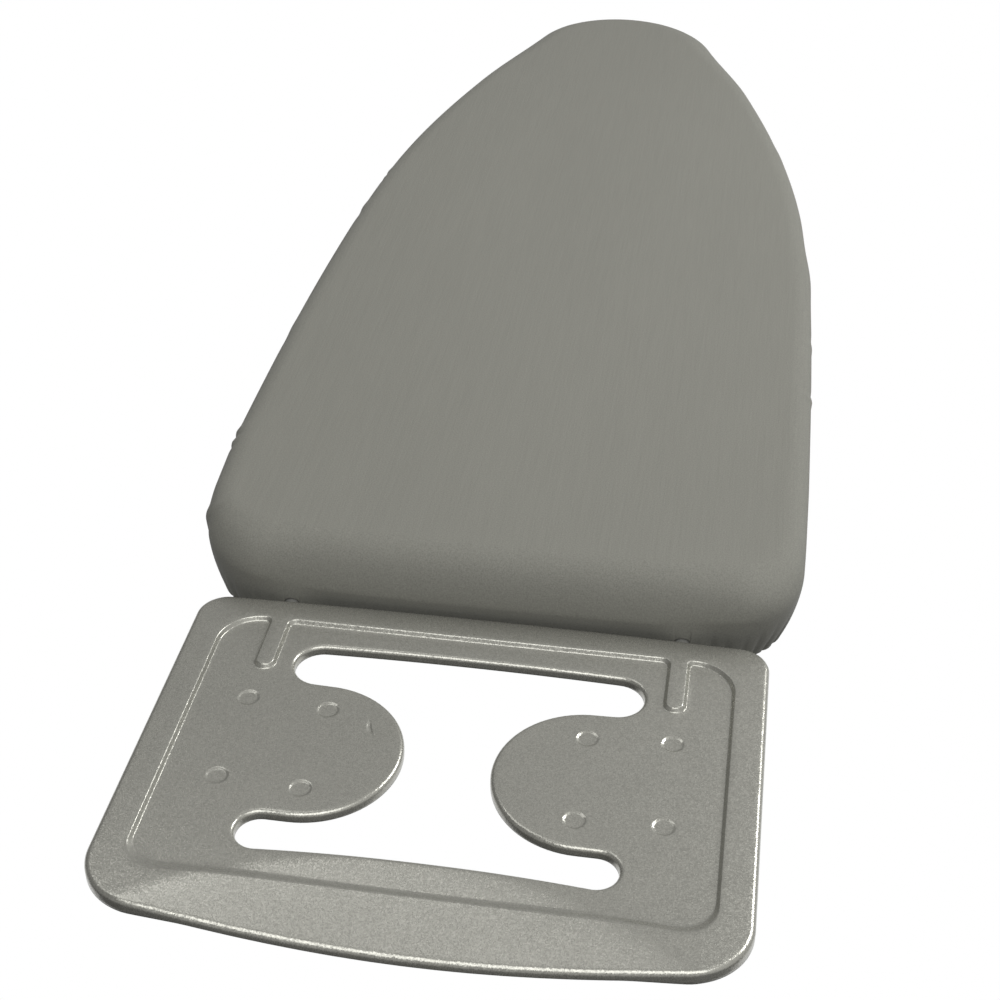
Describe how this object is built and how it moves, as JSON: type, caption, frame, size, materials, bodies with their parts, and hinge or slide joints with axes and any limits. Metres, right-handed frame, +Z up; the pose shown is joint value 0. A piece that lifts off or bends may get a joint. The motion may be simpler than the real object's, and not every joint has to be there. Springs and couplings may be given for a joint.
{
  "type": "ironing board",
  "caption": "Folding ironing board with a padded cloth-covered top, a pressed steel iron rest at its square end and scissor legs folded flat underneath.",
  "frame": {"origin": "middle of the base: the centre of the bounding box in X and Y, on the plane that the folded board lies on", "axes": "+X across the board to the right of a user at the iron rest, +Y along the board from the iron rest to the nose, +Z up"},
  "size_m": [0.45, 1.4176, 0.088],
  "materials": {
    "tray_paint": "satin metallic silver paint with fine flake",
    "frame_paint": "satin silver-grey powder coat",
    "zinc": "bright zinc plate",
    "dark_plastic": "fine moulded grain",
    "cover_cloth": "plain tight cotton weave, matt with a faint coating sheen",
    "felt": "needled felt",
    "elastic": "braided elastic"
  },
  "bodies": {
    "board": {"tray_plate": "tray_paint", "cover": "cover_cloth", "felt_pad": "felt", "tabletop_panel": "frame_paint", "frame_tube_left": "frame_paint", "frame_tube_right": "frame_paint", "frame_tube_nose": "frame_paint", "frame_tube_end": "frame_paint", "rib_end": "frame_paint", "rib_middle": "frame_paint", "rib_lever": "frame_paint", "rib_taper_left": "frame_paint", "rib_taper_right": "frame_paint", "rib_nose_left": "frame_paint", "rib_nose_right": "frame_paint", "hem_elastic": "elastic", "pivot_axle": "zinc", "slide_rail_left": "frame_paint", "slide_rail_right": "frame_paint", "lever_pin": "zinc", "lever_bracket_front": "frame_paint", "lever_bracket_rear": "frame_paint", "lever_spring": "zinc", "tray_rod_left": "frame_paint", "tray_rod_plug_left": "dark_plastic", "tray_clip_left_front": "frame_paint", "tray_clip_left_rear": "frame_paint", "tray_hanger_left_front": "frame_paint", "tray_hanger_left_rear": "frame_paint", "pivot_bracket_left": "frame_paint", "axle_washer_left": "zinc", "tray_rod_right": "frame_paint", "tray_rod_plug_right": "dark_plastic", "tray_clip_right_front": "frame_paint", "tray_clip_right_rear": "frame_paint", "tray_hanger_right_front": "frame_paint", "tray_hanger_right_rear": "frame_paint", "pivot_bracket_right": "frame_paint", "axle_washer_right": "zinc"},
    "outer_legs": {"outer_foot_bar": "frame_paint", "outer_leg_left": "frame_paint", "outer_foot_cap_left": "dark_plastic", "cross_rivet_left": "zinc", "cross_washer_left": "dark_plastic", "outer_leg_right": "frame_paint", "outer_foot_cap_right": "dark_plastic", "cross_rivet_right": "zinc", "cross_washer_right": "dark_plastic"},
    "inner_legs": {"inner_foot_bar": "frame_paint", "slide_bar": "zinc", "inner_leg_left": "frame_paint", "inner_foot_cap_left": "dark_plastic", "slide_bush_left": "dark_plastic", "inner_leg_right": "frame_paint", "inner_foot_cap_right": "dark_plastic", "slide_bush_right": "dark_plastic"},
    "lever": {"latch_plate": "frame_paint", "lever_arm": "zinc", "lever_grip": "dark_plastic"}
  },
  "joints": [
    {"name": "leg_fold", "type": "hinge", "parent": "board", "child": "outer_legs", "pos_m": [0, -0.23425, 0.059], "axis": [-1, 0, 0], "range_deg": [0, 61]},
    {"name": "scissor_cross", "type": "hinge", "parent": "outer_legs", "child": "inner_legs", "pos_m": [0, 0.18762, 0.036], "axis": [1, 0, 0], "range_deg": [0, 122]},
    {"name": "lever_lift", "type": "hinge", "parent": "board", "child": "lever", "pos_m": [0.024, 0.35625, 0.071], "axis": [0, 1, 0], "range_deg": [0, 3], "stiffness_Nm_per_rad": 2, "springref_deg": -8.59}
  ],
  "couplings": [
    {"joint": "scissor_cross", "follows": "leg_fold", "ratio": 2}
  ]
}
